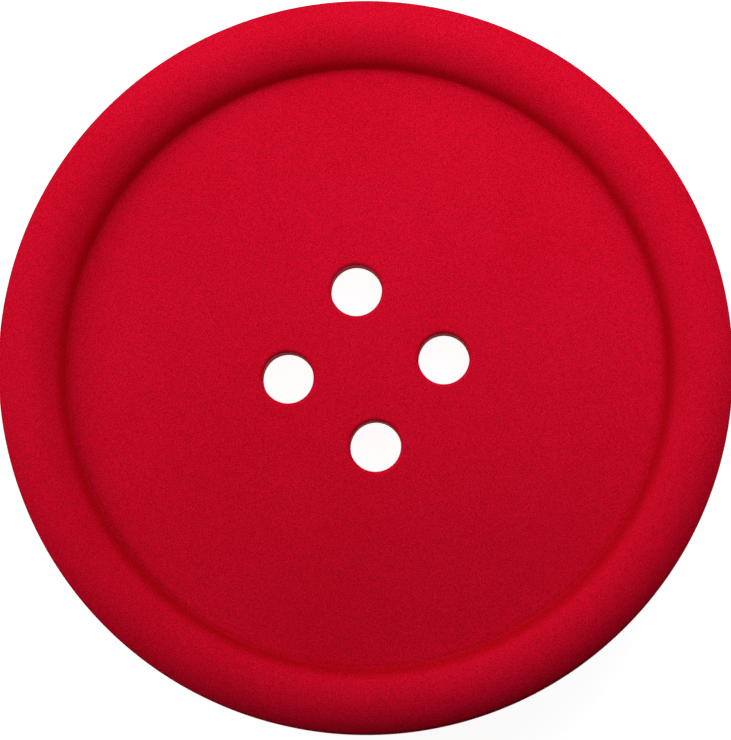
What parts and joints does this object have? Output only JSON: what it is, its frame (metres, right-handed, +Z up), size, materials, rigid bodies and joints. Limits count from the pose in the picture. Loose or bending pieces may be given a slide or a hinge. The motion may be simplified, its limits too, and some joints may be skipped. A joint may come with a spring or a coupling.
{
  "type": "sew-on button",
  "caption": "Round flat sew-through button with a raised rounded rim, a flat well and thread holes near the middle; sewn to cloth, it closes a garment through a buttonhole.",
  "frame": {"origin": "centre of the flat back, on the surface that the button rests on", "axes": "+Z up along the button's axis, out of the face with the rim; +X and +Y each run through the centre of a thread hole"},
  "size_m": [0.028, 0.028, 0.0034],
  "materials": {
    "button_plastic": "matte red, fine even grain"
  },
  "bodies": {
    "root": {"button": "button_plastic"}
  },
  "joints": []
}
